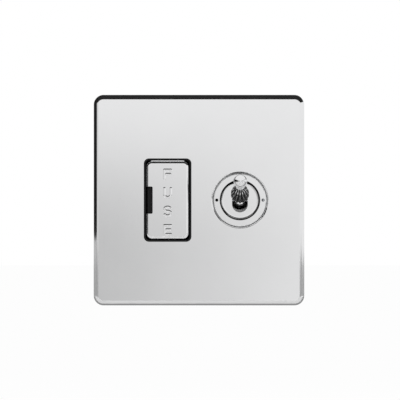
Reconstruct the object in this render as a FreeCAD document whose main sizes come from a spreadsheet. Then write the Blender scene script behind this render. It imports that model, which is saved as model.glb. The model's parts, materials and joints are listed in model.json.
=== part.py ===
import FreeCAD, Part
import math
import os

import Sketcher

Vector = FreeCAD.Vector
Rotation = FreeCAD.Rotation

# Fused connection unit of the flush British kind: a square metal front plate that clips over a
# steel mounting frame, a swing-out fuse carrier on the left and a toggle switch on the right.
# Millimetres. X runs right, Y into the wall, Z up. The origin lies on the wall plane, midway
# between the two fixing holes, so the front plate stands on the negative side of Y.

SIZES = {
    "plate_side": 86.0,
    "plate_depth": 5.0,
    "plate_wall": 1.0,
    "plate_corner": 4.0,
    "plate_edge": 2.0,
    "window_width": 19.4,
    "window_height": 34.0,
    "window_corner": 2.1,
    "window_offset": 12.8,
    "toggle_offset": 16.7,
    "ring_hole": 10.9,
    "hole_edge": 0.8,
    "frame_thick": 1.2,
    "frame_corner": 3.0,
    "frame_margin": 0.6,
    "fixing_spacing": 60.3,
    "fixing_hole": 2.0,
    "tab_width": 14.0,
    "tab_thick": 0.8,
    "tab_height": 2.0,
    "tab_gap": 0.15,
    "flange_width": 52.0,
    "flange_lip": 6.0,
    "flange_corner": 3.0,
    "flange_gap": 0.2,
    "body_width": 46.0,
    "body_height": 56.0,
    "body_corner": 2.0,
    "frame_fit": 0.3,
    "wall": 1.2,
    "housing_back": 14.0,
    "block_back": 23.0,
    "rim_clear": 0.15,
    "rim_wall": 0.55,
    "rim_drop": 0.4,
    "cap_gap": 0.3,
    "cap_proud": 0.1,
    "cap_corner": 2.3,
    "cap_edge": 1.1,
    "cap_skin": 0.5,
    "cap_skirt": 1.2,
    "cap_fit": 0.05,
    "notch_depth": 2.6,
    "notch_height": 11.1,
    "notch_corner": 0.5,
    "finger_depth": 1.2,
    "hinge_depth": 1.8,
    "hinge_inset": 3.0,
    "pip_radius": 0.5,
    "pip_reach": 1.5,
    "pip_fit": 0.05,
    "slab_thick": 2.2,
    "saddle_width": 8.8,
    "saddle_length": 4.0,
    "saddle_pitch": 17.0,
    "saddle_fit": 0.15,
    "saddle_wrap": 0.6,
    "fuse_radius": 3.175,
    "fuse_length": 25.4,
    "fuse_cap_length": 5.5,
    "fuse_cap_wall": 0.25,
    "fuse_fit": 0.1,
    "leaf_thick": 0.5,
    "leaf_width": 3.4,
    "leaf_chord": 8.0,
    "leaf_gap": 0.15,
    "leaf_bow": 1.0,
    "well_floor": 1.4,
    "ring_drop": 0.1,
    "ring_fit": 0.12,
    "ring_bore": 8.0,
    "ring_edge": 0.6,
    "spanner_pitch": 9.45,
    "spanner_radius": 0.65,
    "bush_fit": 0.25,
    "bush_drop": 0.5,
    "bush_face": 0.8,
    "bush_flange": 8.7,
    "bush_flange_thick": 1.0,
    "bush_neck": 5.0,
    "bush_neck_back": 1.2,
    "bush_bore": 3.9,
    "bush_cone": 5.2,
    "bush_cone_depth": 0.5,
    "slot_width": 6.4,
    "slot_length": 10.0,
    "dolly_pivot": 2.2,
    "dolly_tilt": 25.0,
    "hub_radius": 2.6,
    "stem_radius": 1.9,
    "bead_radius": 2.9,
    "bead_place": 3.3,
    "bead_half": 0.5,
    "barrel_base": 4.3,
    "barrel_radius": 3.7,
    "barrel_place": 6.0,
    "barrel_arc": 8.0,
    "barrel_bevel": 0.3,
    "waist_radius": 2.3,
    "neck_place": 11.0,
    "neck_radius": 1.75,
    "neck_fall": 0.6,
    "ball_foot": 2.1,
    "ball_radius": 2.75,
    "ball_place": 17.8,
    "flute_count": 14,
    "flute_radius": 0.65,
    "flute_rise": 0.15,
    "flute_sweep": 64.0,
    "tail_radius": 1.8,
    "tail_length": 5.6,
    "tail_bore": 1.2,
    "tail_bore_depth": 4.2,
    "pivot_pin": 0.7,
    "pin_fit": 0.05,
    "pivot_pin_half": 6.0,
    "plunger_radius": 1.1,
    "plunger_reach": 7.6,
    "plunger_length": 4.0,
    "spring_wire": 0.16,
    "spring_turns": 4,
    "rocker_place": 8.2,
    "rocker_tilt": 10.0,
    "rocker_gap": 0.4,
    "rocker_arm": 8.6,
    "rocker_front": 1.4,
    "rocker_back": 1.2,
    "lip_thick": 0.8,
    "rocker_lip": 4.2,
    "rocker_pin": 0.75,
    "chamber_fit": 0.1,
    "chamber_height": 26.0,
    "pole_offset": 2.7,
    "pole_width": 3.0,
    "strip_thick": 0.6,
    "button_radius": 1.3,
    "button_thick": 0.8,
    "button_place": 7.2,
    "strip_fit": 0.1,
    "terminal_width": 7.2,
    "terminal_depth": 8.0,
    "terminal_length": 9.0,
    "terminal_end": 26.5,
    "terminal_outer": 17.0,
    "terminal_inner": 3.0,
    "terminal_earth": 13.0,
    "terminal_fit": 0.15,
    "wire_radius": 2.0,
    "wire_entry": 2.6,
    "wire_depth": 3.2,
    "clamp_radius": 1.4,
    "clamp_proud": 0.6,
    "clamp_slot": 0.8,
    "strap_width": 5.0,
    "link_high": 10.0,
    "link_low": 3.0,
    "link_end": 18.5,
    "link_gap": 1.75,
    "screw_right": 10.0,
    "screw_left": 5.0,
    "screw_height": 21.5,
    "screw_radius": 1.25,
    "screw_head": 2.0,
    "screw_head_thick": 1.4,
    "screw_fit": 0.1,
    "boss_radius": 2.4,
    "boss_back": 3.0,
    "frame_screw_side": 20.0,
    "frame_screw_rise": 3.0,
    "frame_screw_radius": 1.1,
    "frame_screw_reach": 1.8,
    "rivet_radius": 1.2,
}

doc = FreeCAD.newDocument("fused_spur_unit")
sheet = doc.addObject("Spreadsheet::Sheet", "dims")
for row, (alias, number) in enumerate(SIZES.items(), start=1):
    sheet.set(f"A{row}", alias)
    sheet.set(f"B{row}", str(number))
    sheet.setAlias(f"B{row}", alias)
doc.recompute()


class Dim:
    """A length with its number and the sheet expression that gives it."""

    def __init__(self, text, number):
        self.text = text
        self.number = number

    def __add__(self, other):
        other = as_dim(other)
        return Dim(f"({self.text} + {other.text})", self.number + other.number)

    def __sub__(self, other):
        other = as_dim(other)
        return Dim(f"({self.text} - {other.text})", self.number - other.number)

    def __mul__(self, other):
        other = as_dim(other)
        return Dim(f"({self.text} * {other.text})", self.number * other.number)

    def __truediv__(self, other):
        other = as_dim(other)
        return Dim(f"({self.text} / {other.text})", self.number / other.number)

    def __neg__(self):
        return Dim(f"(0 - {self.text})", -self.number)

    __radd__ = __add__
    __rmul__ = __mul__

    def __rsub__(self, other):
        return as_dim(other) - self


def as_dim(value):
    return value if isinstance(value, Dim) else Dim(str(value), float(value))


def root(value):
    """Square root of a length product."""
    return Dim(f"sqrt({value.text})", math.sqrt(value.number))


def cosine(angle):
    return Dim(f"cos({angle.text} * 1deg)", math.cos(math.radians(angle.number)))


def sine(angle):
    return Dim(f"sin({angle.text} * 1deg)", math.sin(math.radians(angle.number)))


class Sheet:
    """The cells of the sheet, each one a Dim."""

    def __getattr__(self, alias):
        return Dim(f"dims.{alias}", float(sheet.get(alias)))


v = Sheet()


def bind(thing, **sizes):
    """Tie properties of a feature to the sheet; double underscores stand for dots."""
    for path, value in sizes.items():
        thing.setExpression(path.replace("__", "."), as_dim(value).text)


# Sketch outlines. A loop is a list of corners (across, up); a corner of four values
# (across, up, radius, turn) starts an arc, turn 1 for anticlockwise and -1 for clockwise.

def rectangle(left, right, low, high):
    return [(left, low), (right, low), (right, high), (left, high)]


def rounded(left, right, low, high, radius):
    return [
        (left + radius, low), (right - radius, low, radius, 1),
        (right, low + radius), (right, high - radius, radius, 1),
        (right - radius, high), (left + radius, high, radius, 1),
        (left, high - radius), (left, low + radius, radius, 1),
    ]


def centred(width, height, radius, across=0, up=0):
    across, up = as_dim(across), as_dim(up)
    return rounded(across - width / 2, across + width / 2, up - height / 2, up + height / 2, radius)


def circle(radius, across=0, up=0):
    return ("circle", as_dim(across), as_dim(up), as_dim(radius))


def arc_between(start, end, radius, turn):
    """Minor arc of a circle from start to end, as an anticlockwise curve."""
    half = (end - start) * 0.5
    rise = math.sqrt(max(radius * radius - half.Length ** 2, 0.0))
    side = Vector(-half.y, half.x, 0).normalize() * rise * turn
    centre = start + half + side
    first, last = (start, end) if turn > 0 else (end, start)
    low = math.atan2(first.y - centre.y, first.x - centre.x)
    high = math.atan2(last.y - centre.y, last.x - centre.x)
    if high <= low:
        high += 2 * math.pi
    return Part.ArcOfCircle(Part.Circle(centre, Vector(0, 0, 1), radius), low, high)


def fix_point(sketch, edge, point, across, up):
    """Hold one point of an edge at sheet distances from the sketch origin."""
    for kind, value in (("DistanceX", across), ("DistanceY", up)):
        value = as_dim(value)
        number = sketch.addConstraint(Sketcher.Constraint(kind, -1, 1, edge, point, value.number))
        sketch.setExpression(f"Constraints[{number}]", value.text)


def fix_radius(sketch, edge, radius):
    number = sketch.addConstraint(Sketcher.Constraint("Radius", edge, radius.number))
    sketch.setExpression(f"Constraints[{number}]", radius.text)


def draw(sketch, loop):
    if loop[0] == "circle":
        _, across, up, radius = loop
        ring = Part.Circle(Vector(across.number, up.number, 0), Vector(0, 0, 1), radius.number)
        edge = sketch.addGeometry(ring, False)
        fix_point(sketch, edge, 3, across, up)
        fix_radius(sketch, edge, radius)
        return
    spots = [Vector(as_dim(c[0]).number, as_dim(c[1]).number, 0) for c in loop]
    edges, ends = [], []
    for i, corner in enumerate(loop):
        start, end = spots[i], spots[(i + 1) % len(loop)]
        if len(corner) == 2:
            edges.append(sketch.addGeometry(Part.LineSegment(start, end), False))
            ends.append((1, 2))
            continue
        radius, turn = as_dim(corner[2]), corner[3]
        edges.append(sketch.addGeometry(arc_between(start, end, radius.number, turn), False))
        ends.append((1, 2) if turn > 0 else (2, 1))
    for i, corner in enumerate(loop):
        before = i - 1
        link = Sketcher.Constraint("Coincident", edges[before], ends[before][1], edges[i], ends[i][0])
        sketch.addConstraint(link)
        fix_point(sketch, edges[i], ends[i][0], corner[0], corner[1])
        if len(corner) == 4:
            fix_radius(sketch, edges[i], as_dim(corner[2]))


class Body:
    """One piece made feature by feature from sketches on its own origin planes."""

    # Direction of a sketch's own normal along the axis that its plane is square to.
    NORMALS = {"XY_Plane": 1, "XZ_Plane": -1, "YZ_Plane": 1}

    def __init__(self, label):
        self.body = doc.addObject("PartDesign::Body", label)
        self.body.Label = label
        pieces.append(self.body)

    def origin(self, role):
        return next(f for f in self.body.Origin.OriginFeatures if f.Role == role)

    def sketch(self, plane, place, loops):
        sketch = self.body.newObject("Sketcher::SketchObject", self.body.Label + "_sketch")
        sketch.AttachmentSupport = [(self.origin(plane), "")]
        sketch.MapMode = "FlatFace"
        bind(sketch, AttachmentOffset__Base__z=as_dim(place) * self.NORMALS[plane])
        for loop in loops:
            draw(sketch, loop)
        return sketch

    def pad(self, plane, low, high, *loops):
        """Solid between two heights of the axis that the plane is square to."""
        start = low if self.NORMALS[plane] > 0 else high
        feature = self.body.newObject("PartDesign::Pad", self.body.Label + "_pad")
        feature.Profile = self.sketch(plane, start, loops)
        bind(feature, Length=as_dim(high) - low)
        return feature

    def pocket(self, plane, low, high, *loops):
        """Hollow between two heights, with a check that it removes something."""
        doc.recompute()
        before = self.body.Shape.Volume
        start = high if self.NORMALS[plane] > 0 else low
        feature = self.body.newObject("PartDesign::Pocket", self.body.Label + "_pocket")
        feature.Profile = self.sketch(plane, start, loops)
        bind(feature, Length=as_dim(high) - low)
        doc.recompute()
        if self.body.Shape.Volume > before - 1e-6:
            raise RuntimeError(f"a pocket of {self.body.Label} removes nothing")
        return feature

    def revolve(self, *loops):
        """Turned solid: radius across and the Y axis up, on the XY plane."""
        feature = self.body.newObject("PartDesign::Revolution", self.body.Label + "_turned")
        profile = self.sketch("XY_Plane", 0, loops)
        feature.Profile = profile
        feature.ReferenceAxis = (profile, ["V_Axis"])
        feature.Angle = 360
        return feature

    def round_edges(self, radius, wanted):
        """Fillet every edge of the present solid that the test accepts."""
        return self.dress("PartDesign::Fillet", wanted, Radius=radius)

    def dress(self, kind, wanted, **sizes):
        doc.recompute()
        base = self.body.Tip
        names = [f"Edge{i}" for i, edge in enumerate(base.Shape.Edges, start=1) if wanted(edge)]
        feature = self.body.newObject(kind, self.body.Label + "_edges")
        feature.Base = (base, names)
        bind(feature, **sizes)
        return feature

    def move(self, across=0, inward=0, up=0):
        bind(self.body, Placement__Base__x=across, Placement__Base__y=inward,
             Placement__Base__z=up)

    def tilt(self, axis, angle):
        """Turn about an axis through the body's own origin."""
        self.body.Placement = FreeCAD.Placement(Vector(), Rotation(axis, angle.number))
        self.body.setExpression("Placement.Rotation.Angle", f"{angle.text} * 1deg")


pieces = []


def near(value, target):
    return abs(value - as_dim(target).number) < 1e-4


def edge_lies_at(edge, **places):
    """True where every point of the edge has the given coordinates."""
    box = edge.BoundBox
    spans = {"x": (box.XMin, box.XMax), "y": (box.YMin, box.YMax), "z": (box.ZMin, box.ZMax)}
    return all(near(low, places[axis]) and near(high, places[axis])
               for axis, (low, high) in spans.items() if axis in places)


def block(name, left, right, front, back, low, high):
    """Plain box between six sheet values."""
    box = doc.addObject("Part::Box", name)
    bind(box, Length=as_dim(right) - left, Width=as_dim(back) - front, Height=as_dim(high) - low)
    bind(box, Placement__Base__x=left, Placement__Base__y=front, Placement__Base__z=low)
    return box


def rod(name, radius, axis, start, length, across=0, inward=0, up=0):
    """Cylinder along X, Y or Z from a starting height on that axis."""
    turns = {
        "x": Rotation(Vector(0, 1, 0), 90),
        "y": Rotation(Vector(-1, 0, 0), 90),
        "z": Rotation(),
    }
    bar = doc.addObject("Part::Cylinder", name)
    bar.Placement = FreeCAD.Placement(Vector(), turns[axis])
    spot = {"x": across, "y": inward, "z": up}
    spot[axis] = as_dim(spot[axis]) + start
    bind(bar, Radius=radius, Height=length)
    bind(bar, Placement__Base__x=spot["x"], Placement__Base__y=spot["y"],
         Placement__Base__z=spot["z"])
    return bar


def join(name, parts):
    fused = doc.addObject("Part::MultiFuse", name)
    fused.Shapes = parts
    fused.Refine = True
    return fused


def cut(name, base, tool):
    result = doc.addObject("Part::Cut", name)
    result.Base = base
    result.Tool = tool
    result.Refine = True
    return result


def keep(label, thing):
    """Name a finished piece that was made from primitives."""
    thing.Label = label
    pieces.append(thing)
    return thing


def group(label, parts):
    """Separate solids of like pieces under one name."""
    bundle = doc.addObject("Part::Compound", label)
    bundle.Links = parts
    return keep(label, bundle)

# Places that several pieces share.

plate_front = -v.plate_depth
plate_inside = v.plate_side / 2 - v.plate_wall
plate_back_face = v.plate_wall - v.plate_depth
fuse_x = -v.window_offset
toggle_x = v.toggle_offset
frame_front = -v.frame_thick
flange_front = plate_back_face + v.flange_gap
border = v.rim_clear + v.rim_wall + v.cap_gap
cap_half_width = v.window_width / 2 - border
cap_half_height = v.window_height / 2 - border
cap_front = plate_front - v.cap_proud
hinge_x = fuse_x + cap_half_width - v.hinge_inset
hinge_y = cap_front + v.hinge_depth
slab_front = cap_front + v.cap_skin + v.cap_fit
slab_back = slab_front + v.slab_thick
fuse_y = slab_back + v.fuse_fit + v.fuse_radius
leaf_crown = fuse_y + v.fuse_radius + v.leaf_gap
well_back = leaf_crown + v.leaf_thick + v.leaf_bow
well_box_back = well_back + v.well_floor
strip_front = v.housing_back - v.strip_thick
terminal_start = v.terminal_end - v.terminal_length

flange_height = v.body_height + v.flange_lip * 2
frame_screw_height = v.body_height / 2 + v.frame_screw_rise

EARTH_X = -v.terminal_earth
SIDES = (-1, 1)


def make_front_plate():
    """Folded plate: a square shell, open to the wall, with its two openings."""
    plate = Body("front_plate")
    plate.pad("XZ_Plane", plate_front, 0, centred(v.plate_side, v.plate_side, v.plate_corner))
    plate.round_edges(v.plate_edge, lambda edge: edge_lies_at(edge, y=plate_front))
    inner_side = v.plate_side - v.plate_wall * 2
    inner_corner = v.plate_corner - v.plate_wall
    plate.pocket("XZ_Plane", plate_back_face, 0, centred(inner_side, inner_side, inner_corner))
    window = centred(v.window_width, v.window_height, v.window_corner, fuse_x)
    plate.pocket("XZ_Plane", plate_front, plate_back_face, window, circle(v.ring_hole, toggle_x))

    def at_ring_hole(edge):
        return (edge_lies_at(edge, y=plate_front) and hasattr(edge.Curve, "Radius")
                and near(edge.Curve.Radius, v.ring_hole))

    plate.round_edges(v.hole_edge, at_ring_hole)


def make_mounting_frame():
    """Pressed steel yoke with sprung tabs that the plate's folded sides clip over."""
    frame = Body("mounting_frame")
    reach = plate_inside - v.frame_margin
    opening = centred(v.body_width + v.frame_fit * 2, v.body_height + v.frame_fit * 2,
                      v.body_corner + v.frame_fit)
    fixings = [circle(v.fixing_hole, v.fixing_spacing / 2 * side) for side in SIDES]
    outline = centred(reach * 2, reach * 2, v.frame_corner)
    screws = [circle(v.frame_screw_radius, across, up) for across, up in frame_screw_spots()]
    rivet = circle(v.rivet_radius, EARTH_X, frame_screw_height)
    frame.pad("XZ_Plane", frame_front, 0, outline, opening, rivet, *fixings, *screws)
    tab_out = plate_inside - v.tab_gap
    tab_in = tab_out - v.tab_thick
    half = v.tab_width / 2
    tab_front = frame_front - v.tab_height
    for side in SIDES:
        near_x, far_x = (tab_in, tab_out) if side > 0 else (-tab_out, -tab_in)
        frame.pad("XZ_Plane", tab_front, 0, rectangle(near_x, far_x, -half, half))
        frame.pad("XZ_Plane", tab_front, 0, rectangle(-half, half, near_x, far_x))


def frame_screw_spots():
    return [(v.frame_screw_side * across, frame_screw_height * up)
            for across in SIDES for up in SIDES]


def housing_screw_spots():
    return [(across, v.screw_height * up)
            for across in (v.screw_right, -v.screw_left) for up in SIDES]


def make_insert_moulding():
    """Black front moulding: flange, rim round the fuse cover, fuse well and screw bosses."""
    mould = Body("insert_moulding")
    well_half_x = cap_half_width + v.cap_gap
    well_half_z = cap_half_height + v.cap_gap
    rim_front = plate_front + v.rim_drop
    box_right = fuse_x + well_half_x + v.wall
    box_half_z = well_half_z + v.wall
    mould.pad("XZ_Plane", flange_front, frame_front,
              centred(v.flange_width, flange_height, v.flange_corner))
    rim_corner = v.window_corner - v.rim_clear
    rim = centred((well_half_x + v.rim_wall) * 2, (well_half_z + v.rim_wall) * 2, rim_corner, fuse_x)
    mould.pad("XZ_Plane", rim_front, flange_front, rim)
    mould.pad("XZ_Plane", frame_front, well_box_back,
              rectangle(-v.body_width / 2, box_right, -box_half_z, box_half_z))
    bosses = [circle(v.boss_radius, across, up) for across, up in housing_screw_spots()]
    mould.pad("XZ_Plane", frame_front, v.boss_back, *bosses)
    well = centred(well_half_x * 2, well_half_z * 2, rim_corner - v.rim_wall, fuse_x)
    mould.pocket("XZ_Plane", rim_front, well_back, well)
    # The hinge pips of the fuse carrier snap into a bore at each end of the well.
    pip_end = cap_half_height + v.pip_reach + v.pip_fit * 2
    bore = circle(v.pip_radius + v.pip_fit, hinge_x, hinge_y)
    mould.pocket("XY_Plane", well_half_z - v.pip_fit, pip_end, bore)
    mould.pocket("XY_Plane", -pip_end, v.pip_fit - well_half_z, bore)
    # The bush passes through from behind and its flange is let into the back of the wall.
    mould.pocket("XZ_Plane", flange_front, frame_front, circle(v.ring_bore, toggle_x))
    mould.pocket("XZ_Plane", frame_front - v.bush_flange_thick, frame_front,
                 circle(v.bush_flange + v.bush_fit, toggle_x))
    # Slots in the well floor let the contact tails through.
    for up in (v.link_high, -v.link_high):
        mould.pocket("XZ_Plane", well_back, well_box_back, tail_slot(up))
    pilots = [circle(v.screw_radius, across, up) for across, up in housing_screw_spots()]
    mould.pocket("XZ_Plane", frame_front - 1, well_box_back, *pilots)
    frame_pilots = [circle(v.frame_screw_radius, across, up) for across, up in frame_screw_spots()]
    mould.pocket("XZ_Plane", frame_front - v.frame_screw_reach, frame_front, *frame_pilots)


tail_right = fuse_x + v.leaf_chord / 2
tail_left = tail_right - v.leaf_thick


def tail_slot(up):
    half = v.leaf_width / 2 + v.strip_fit
    return rectangle(tail_left - v.strip_fit, tail_right + v.strip_fit, up - half, up + half)

chamber_half = v.bush_neck + v.chamber_fit
chamber_left = toggle_x - chamber_half
chamber_right = toggle_x + chamber_half
pole_line_x = toggle_x + v.pole_offset
pole_neutral_x = toggle_x - v.pole_offset
strip_half = v.pole_width / 2


def grown(loop, fit):
    """The same upright rectangle, larger by the fit on every side."""
    (left, low), (right, _), (_, high), _ = loop
    return rectangle(left - fit, right + fit, low - fit, high + fit)


def column(middle, half, low, high):
    return rectangle(middle - half, middle + half, low, high)


# The flat conductors that lie between the two rear mouldings, as lists of rectangles.

moving_depth = v.rocker_back + v.strip_thick + v.button_thick
fixed_button_z = v.button_place * cosine(v.rocker_tilt) - moving_depth * sine(v.rocker_tilt)
fixed_foot = fixed_button_z - v.button_radius - v.strip_thick
under_screw = v.screw_height - v.screw_radius - v.link_gap
CONDUCTORS = {
    "fixed_contact_line": [column(pole_line_x, strip_half, fixed_foot, v.link_end)],
    "fixed_contact_neutral": [
        column(pole_neutral_x, strip_half, fixed_foot, under_screw),
        rectangle(v.terminal_inner, pole_neutral_x, under_screw - v.pole_width, under_screw),
        column(v.terminal_inner, strip_half, under_screw - v.pole_width, v.link_end),
    ],
    "pole_strap_line": [
        rectangle(tail_left, pole_line_x + strip_half, -strip_half, strip_half),
        rectangle(tail_left, tail_left + v.pole_width, 0, v.link_high + strip_half),
    ],
    "pole_strap_neutral": [column(pole_neutral_x, strip_half, -v.link_end, -v.link_low)],
    "earth_strap": [column(EARTH_X, v.strap_width / 2, -v.link_end, v.body_height / 2)],
}
lower_link = [
    rectangle(tail_left, v.terminal_inner + strip_half, -v.link_high - strip_half,
              strip_half - v.link_high),
    column(v.terminal_inner, strip_half, -v.link_end, -v.link_high),
]


def make_switch_housing():
    """Middle moulding behind the flange: switch chamber, cored middle and conductor channels."""
    housing = Body("switch_housing")
    half_width = v.body_width / 2
    housing.pad("XZ_Plane", frame_front, v.housing_back,
                centred(v.body_width, v.body_height, v.body_corner))
    box_right = fuse_x + cap_half_width + v.cap_gap + v.wall + v.strip_fit
    box_half = cap_half_height + v.cap_gap + v.wall + v.strip_fit
    housing.pocket("XZ_Plane", frame_front, well_box_back + v.strip_fit,
                   rectangle(-half_width - 1, box_right, -box_half, box_half))
    half_z = v.chamber_height / 2
    housing.pocket("XZ_Plane", frame_front, v.housing_back,
                   rectangle(chamber_left, chamber_right, -half_z, half_z))
    core_back = strip_front - v.wall
    housing.pocket("XZ_Plane", frame_front, core_back,
                   rectangle(box_right + v.wall, chamber_left - v.wall, -half_z, half_z))
    wells = [circle(v.boss_radius + v.screw_fit, across, up) for across, up in housing_screw_spots()]
    housing.pocket("XZ_Plane", frame_front, v.boss_back + v.screw_fit, *wells)
    holes = [circle(v.screw_radius + v.screw_fit, across, up) for across, up in housing_screw_spots()]
    housing.pocket("XZ_Plane", v.boss_back, v.housing_back, *holes)
    for loops in list(CONDUCTORS.values()) + [lower_link]:
        for loop in loops:
            housing.pocket("XZ_Plane", strip_front - 0.05, v.housing_back, grown(loop, v.strip_fit))
    for up in (v.link_high, -v.link_high):
        housing.pocket("XZ_Plane", well_box_back, v.housing_back, tail_slot(up))
    # The rocker pin is pushed in from the cored middle.
    housing.pocket("YZ_Plane", chamber_left - v.wall - 1, chamber_right + v.wall / 2,
                   circle(v.rocker_pin + v.pin_fit, v.rocker_place))


TERMINALS = {
    "terminal_supply_line": (v.terminal_outer, 1),
    "terminal_supply_neutral": (v.terminal_inner, 1),
    "terminal_earth_upper": (EARTH_X, 1),
    "terminal_load_neutral": (v.terminal_outer, -1),
    "terminal_load_line": (v.terminal_inner, -1),
    "terminal_earth_lower": (EARTH_X, -1),
}


def terminal_rectangle(across, side, fit=0):
    half = v.terminal_width / 2 + fit
    near_z, far_z = terminal_start - fit, v.terminal_end + fit
    if side < 0:
        near_z, far_z = -far_z, -near_z
    return rectangle(across - half, across + half, near_z, far_z)


def make_terminal_block():
    """Rear moulding with a chamber for each terminal and a wire entry above or below it."""
    block_body = Body("terminal_block")
    block_body.pad("XZ_Plane", v.housing_back, v.block_back,
                   centred(v.body_width, v.body_height, v.body_corner))
    rows = TERMINALS.values()
    chambers = [terminal_rectangle(across, side, v.terminal_fit) for across, side in rows]
    block_body.pocket("XZ_Plane", v.housing_back, v.block_back, *chambers)
    wire_y = v.housing_back + v.wire_depth + v.wire_radius
    half = v.body_height / 2
    for across, side in rows:
        low, high = (v.terminal_end, half + 1) if side > 0 else (-half - 1, -v.terminal_end)
        entry = [
            (across - v.wire_entry, wire_y), (across + v.wire_entry, wire_y),
            (across + v.wire_entry, v.block_back + 1), (across - v.wire_entry, v.block_back + 1),
        ]
        block_body.pocket("XY_Plane", low, high, circle(v.wire_entry, across, wire_y))
        block_body.pocket("XY_Plane", low, high, entry)
    spots = housing_screw_spots()
    holes = [circle(v.screw_radius + v.screw_fit, across, up) for across, up in spots]
    block_body.pocket("XZ_Plane", v.housing_back, v.block_back, *holes)
    heads = [circle(v.screw_head + v.screw_fit, across, up) for across, up in spots]
    block_body.pocket("XZ_Plane", head_seat, v.block_back, *heads)
    # Cored middle, open to the back of the box.
    core_half = terminal_start - v.wall * 2
    core = centred(v.body_width - v.wall * 4, core_half * 2, v.body_corner)
    block_body.pocket("XZ_Plane", v.housing_back + v.wall * 2, v.block_back, core)


head_seat = v.block_back - v.terminal_depth / 2


def make_housing_screws():
    """Four pan-headed screws that hold the three mouldings together."""
    screws = []
    for number, (across, up) in enumerate(housing_screw_spots(), start=1):
        shank = rod(f"housing_shank_{number}", v.screw_radius, "y", frame_front,
                    head_seat - frame_front, across=across, up=up)
        head = rod(f"housing_head_{number}", v.screw_head, "y", head_seat,
                   v.screw_head_thick, across=across, up=up)
        slot = block(f"housing_slot_{number}", across - v.screw_head - 1, across + v.screw_head + 1,
                     head_seat + v.screw_head_thick / 2, head_seat + v.screw_head_thick + 1,
                     up - v.clamp_slot / 2, up + v.clamp_slot / 2)
        solid = join(f"housing_screw_solid_{number}", [shank, head])
        screws.append(cut(f"housing_screw_{number}", solid, slot))
    group("housing_screws", screws)


def make_frame_screws():
    """Short screws that hold the front moulding against the frame."""
    screws = []
    for number, (across, up) in enumerate(frame_screw_spots(), start=1):
        reach = v.frame_screw_reach + v.frame_thick
        shank = rod(f"frame_shank_{number}", v.frame_screw_radius, "y", -reach, reach,
                    across=across, up=up)
        head = rod(f"frame_head_{number}", v.screw_head, "y", 0, v.screw_head_thick,
                   across=across, up=up)
        screws.append(join(f"frame_screw_{number}", [shank, head]))
    group("frame_screws", screws)


def make_terminals():
    """Brass blocks with an upright wire bore and a clamp screw from behind."""
    wire_y = v.housing_back + v.wire_depth + v.wire_radius
    clamp_y = wire_y + v.wire_radius
    back = v.housing_back + v.terminal_depth
    screws = []
    for label, (across, side) in TERMINALS.items():
        (left, low), (right, _), (_, high), _ = terminal_rectangle(across, side)
        brass = block(label + "_stock", left, right, v.housing_back, back, low, high)
        bore = rod(label + "_bore", v.wire_radius, "z", low - 1, v.terminal_length + 2,
                   across=across, inward=wire_y)
        middle = (low + high) / 2
        tapped = rod(label + "_tapped", v.clamp_radius, "y", wire_y, v.terminal_depth,
                     across=across, up=middle)
        keep(label, cut(label, brass, join(label + "_holes", [bore, tapped])))
        screw = rod(label + "_screw", v.clamp_radius, "y", clamp_y, back + v.clamp_proud - clamp_y,
                    across=across, up=middle)
        slot = block(label + "_slot", left, right, back - v.clamp_slot / 2,
                     back + v.clamp_proud + 1, middle - v.clamp_slot / 2, middle + v.clamp_slot / 2)
        screws.append(cut(label + "_clamp", screw, slot))
    group("terminal_screws", screws)

slab_half_height = cap_half_height - v.cap_skin - v.cap_fit


def make_fuse_cap():
    """Thin metal cover of the carrier, with turned-back edges and a pry notch on the left."""
    cap = Body("fuse_cap")
    back = cap_front + v.cap_skirt
    cap.pad("XZ_Plane", cap_front, back,
            centred(cap_half_width * 2, cap_half_height * 2, v.cap_corner, fuse_x))
    cap.round_edges(v.cap_edge, lambda edge: edge_lies_at(edge, y=cap_front))
    inner = centred((cap_half_width - v.cap_skin) * 2, (cap_half_height - v.cap_skin) * 2,
                    v.cap_corner - v.cap_skin, fuse_x)
    cap.pocket("XZ_Plane", cap_front + v.cap_skin, back, inner)
    left = fuse_x - cap_half_width
    notch = rounded(left - v.notch_depth, left + v.notch_depth, -v.notch_height / 2,
                    v.notch_height / 2, v.notch_corner)
    cap.pocket("XZ_Plane", cap_front, back, notch)


def make_fuse_carrier():
    """Swing-out tray: slab behind the cover, two saddles for the fuse and two hinge pips."""
    carrier = Body("fuse_carrier")
    half_width = cap_half_width - v.cap_skin - v.cap_fit
    slab = centred(half_width * 2, slab_half_height * 2, v.cap_corner - v.cap_skin - v.cap_fit, fuse_x)
    carrier.pad("XZ_Plane", slab_front, slab_back, slab)
    half = v.saddle_width / 2
    saddles = []
    for side in SIDES:
        middle = v.saddle_pitch / 2 * side
        saddles.append(rectangle(fuse_x - half, fuse_x + half, middle - v.saddle_length / 2,
                                 middle + v.saddle_length / 2))
    carrier.pad("XZ_Plane", slab_back, fuse_y + v.saddle_wrap, *saddles)
    carrier.pocket("XY_Plane", -slab_half_height, slab_half_height,
                   circle(v.fuse_radius + v.saddle_fit, fuse_x, fuse_y))
    pip_end = cap_half_height + v.pip_reach
    pip = circle(v.pip_radius, hinge_x, hinge_y)
    carrier.pad("XY_Plane", slab_half_height - 1, pip_end, pip)
    carrier.pad("XY_Plane", -pip_end, 1 - slab_half_height, pip)
    left = fuse_x - cap_half_width
    finger = rectangle(left - 1, left + v.notch_depth, -v.notch_height / 2, v.notch_height / 2)
    carrier.pocket("XZ_Plane", slab_front, slab_front + v.finger_depth, finger)


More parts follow.
